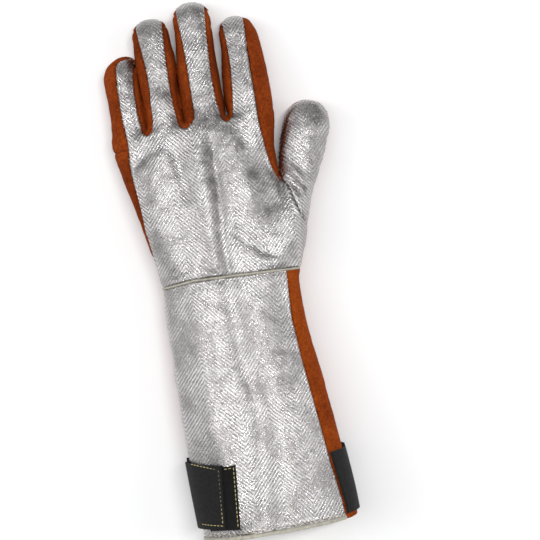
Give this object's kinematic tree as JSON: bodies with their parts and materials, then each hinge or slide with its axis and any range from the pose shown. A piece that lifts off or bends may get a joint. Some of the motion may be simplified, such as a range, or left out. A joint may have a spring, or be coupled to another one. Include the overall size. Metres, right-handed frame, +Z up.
{
  "type": "aluminized heat resistant glove",
  "caption": "Gauntlet work glove with an aluminized cloth back, brown split leather palm side and a black wrist-cuff strap with a hook and loop tab.",
  "frame": {"origin": "on the floor under the middle of the glove's bounding box", "axes": "+Y from the cuff's mouth to the fingertips, +X towards the thumb's side, +Z up out of the back of the hand"},
  "size_m": [0.1624, 0.3972, 0.0651],
  "materials": {
    "aluminized_cloth": "crinkled foil on woven cloth",
    "split_leather": "suede nap",
    "cuff_leather": "suede nap",
    "strap": "matt",
    "loop_patch": "brushed loops",
    "seam_piping": "matt woven tape"
  },
  "bodies": {
    "root": {"hand_back": "aluminized_cloth", "thumb_back": "aluminized_cloth", "cuff_back": "aluminized_cloth", "wrist_welt": "seam_piping", "cuff_hem": "seam_piping", "cuff_strap": "strap", "strap_patch": "loop_patch", "palm": "split_leather", "index_front": "split_leather", "middle_front": "split_leather", "ring_front": "split_leather", "little_front": "split_leather", "side_little_ring": "split_leather", "side_ring_middle": "split_leather", "side_middle_index": "split_leather", "thumb_front": "split_leather", "cuff_palm": "cuff_leather"}
  },
  "joints": []
}
